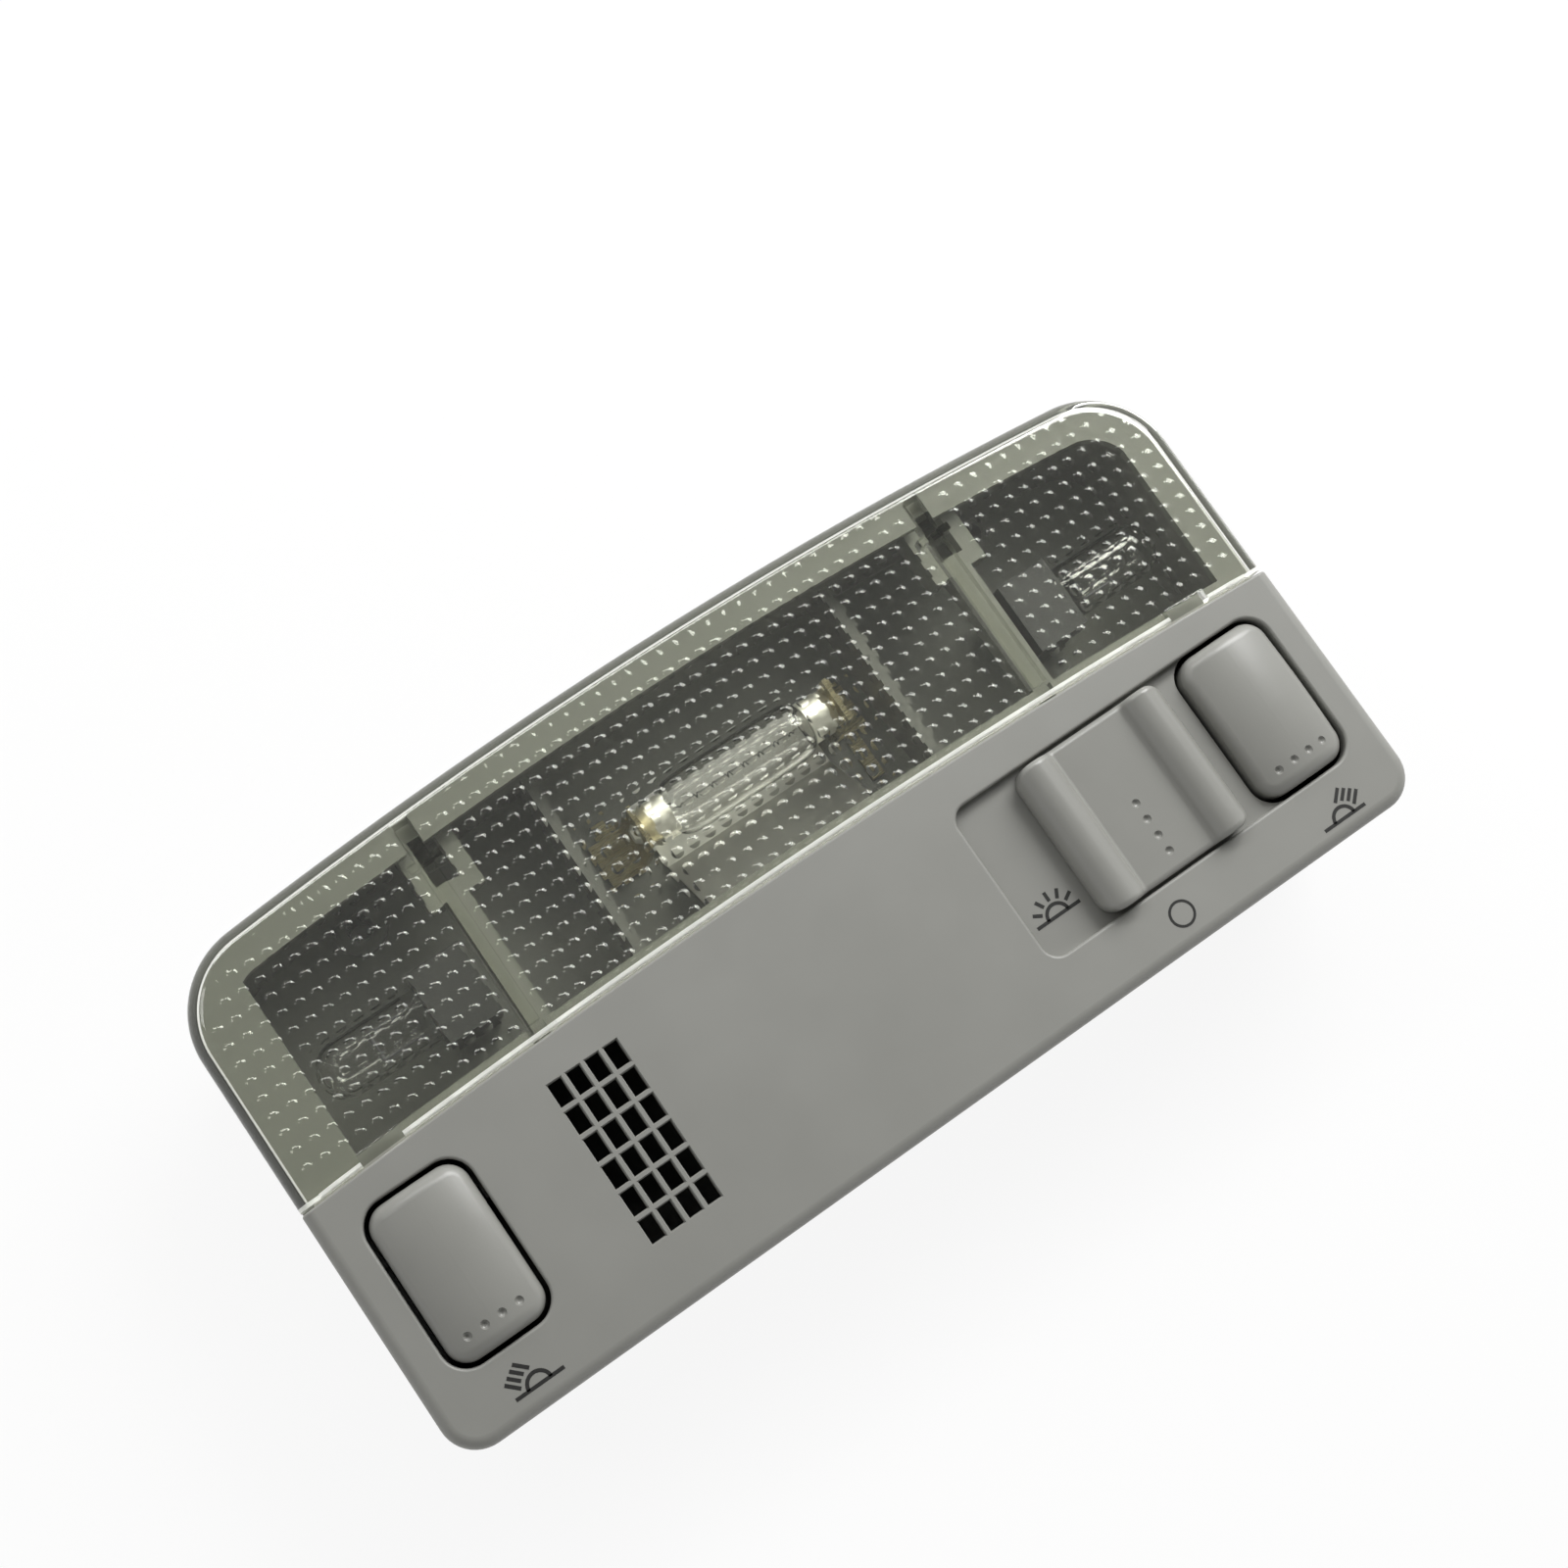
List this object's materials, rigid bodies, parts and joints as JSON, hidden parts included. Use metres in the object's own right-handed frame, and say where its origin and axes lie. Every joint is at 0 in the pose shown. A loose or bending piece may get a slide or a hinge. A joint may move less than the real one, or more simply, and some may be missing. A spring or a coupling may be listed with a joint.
{
  "type": "car interior reading light",
  "caption": "Wide car roof light with a dimpled clear lens over dome and reading bulbs, press buttons, a sliding dome switch and a small grille.",
  "frame": {"origin": "on the rear rest plane, under the middle of the face's outline", "axes": "+X along the length towards the dome switch, +Y from the switch panel towards the lens, +Z out of the face"},
  "size_m": [0.186, 0.0904, 0.0382],
  "materials": {
    "panel_grey": "satin moulded plastic with a very fine grain",
    "button_grey": "satin moulded plastic with a very fine grain",
    "clear_lens": "clear polished plastic with a dimpled inner face",
    "carrier_charcoal": "dull charcoal moulded plastic",
    "carriage_white": "smooth off-white sliding plastic",
    "contact_brass": "stamped bright brass",
    "bulb_glass": "thin clear glass",
    "bulb_cap_metal": "pressed bright brass",
    "filament_wire": "dull grey wire",
    "reflector_sheet": "bright sheet with a warm lacquer",
    "zinc_steel": "zinc-plated steel",
    "spring_steel": "dull spring steel",
    "switch_black": "dull black moulded plastic",
    "holder_black": "dull black moulded plastic"
  },
  "bodies": {
    "base": {"front_housing": "panel_grey", "lens": "clear_lens", "rear_carrier": "carrier_charcoal", "slider_tracks": "contact_brass", "dome_bulb_glass": "bulb_glass", "dome_bulb_caps": "bulb_cap_metal", "dome_bulb_filament": "filament_wire", "dome_reflector": "reflector_sheet", "earth_busbar": "contact_brass", "supply_busbar": "contact_brass", "connector_pins": "contact_brass", "assembly_screws": "zinc_steel", "left_push_switch": "switch_black", "left_dome_contact": "contact_brass", "left_bulb_holder": "holder_black", "left_reading_bulb": "bulb_glass", "left_reading_filament": "filament_wire", "left_bulb_contacts": "contact_brass", "left_retaining_clip": "spring_steel", "right_push_switch": "switch_black", "right_dome_contact": "contact_brass", "right_bulb_holder": "holder_black", "right_reading_bulb": "bulb_glass", "right_reading_filament": "filament_wire", "right_bulb_contacts": "contact_brass", "right_retaining_clip": "spring_steel"},
    "left_rocker": {"left_rocker_button": "button_grey"},
    "right_rocker": {"right_rocker_button": "button_grey"},
    "left_plunger": {"left_switch_plunger": "carriage_white"},
    "right_plunger": {"right_switch_plunger": "carriage_white"},
    "slider": {"slider_knob": "button_grey", "slider_carriage": "carriage_white", "slider_wiper": "contact_brass"}
  },
  "joints": [
    {"name": "left_press", "type": "hinge", "parent": "base", "child": "left_rocker", "pos_m": [-0.07775, -0.01095, 0.028], "axis": [1, 0, 0], "range_deg": [0, 4], "stiffness_Nm_per_rad": 0.4, "springref_deg": -1.72},
    {"name": "right_press", "type": "hinge", "parent": "base", "child": "right_rocker", "pos_m": [0.07775, -0.01095, 0.028], "axis": [1, 0, 0], "range_deg": [0, 4], "stiffness_Nm_per_rad": 0.4, "springref_deg": -1.72},
    {"name": "left_plunger_slide", "type": "slide", "parent": "base", "child": "left_plunger", "axis": [0, 0, -1], "range_m": [0, 0.0013]},
    {"name": "right_plunger_slide", "type": "slide", "parent": "base", "child": "right_plunger", "axis": [0, 0, -1], "range_m": [0, 0.0013]},
    {"name": "dome_switch_slide", "type": "slide", "parent": "base", "child": "slider", "axis": [1, 0, 0], "range_m": [-0.008, 0]}
  ],
  "couplings": [
    {"joint": "left_plunger_slide", "follows": "left_press", "m_per_rad": 0.017},
    {"joint": "right_plunger_slide", "follows": "right_press", "m_per_rad": 0.017}
  ]
}
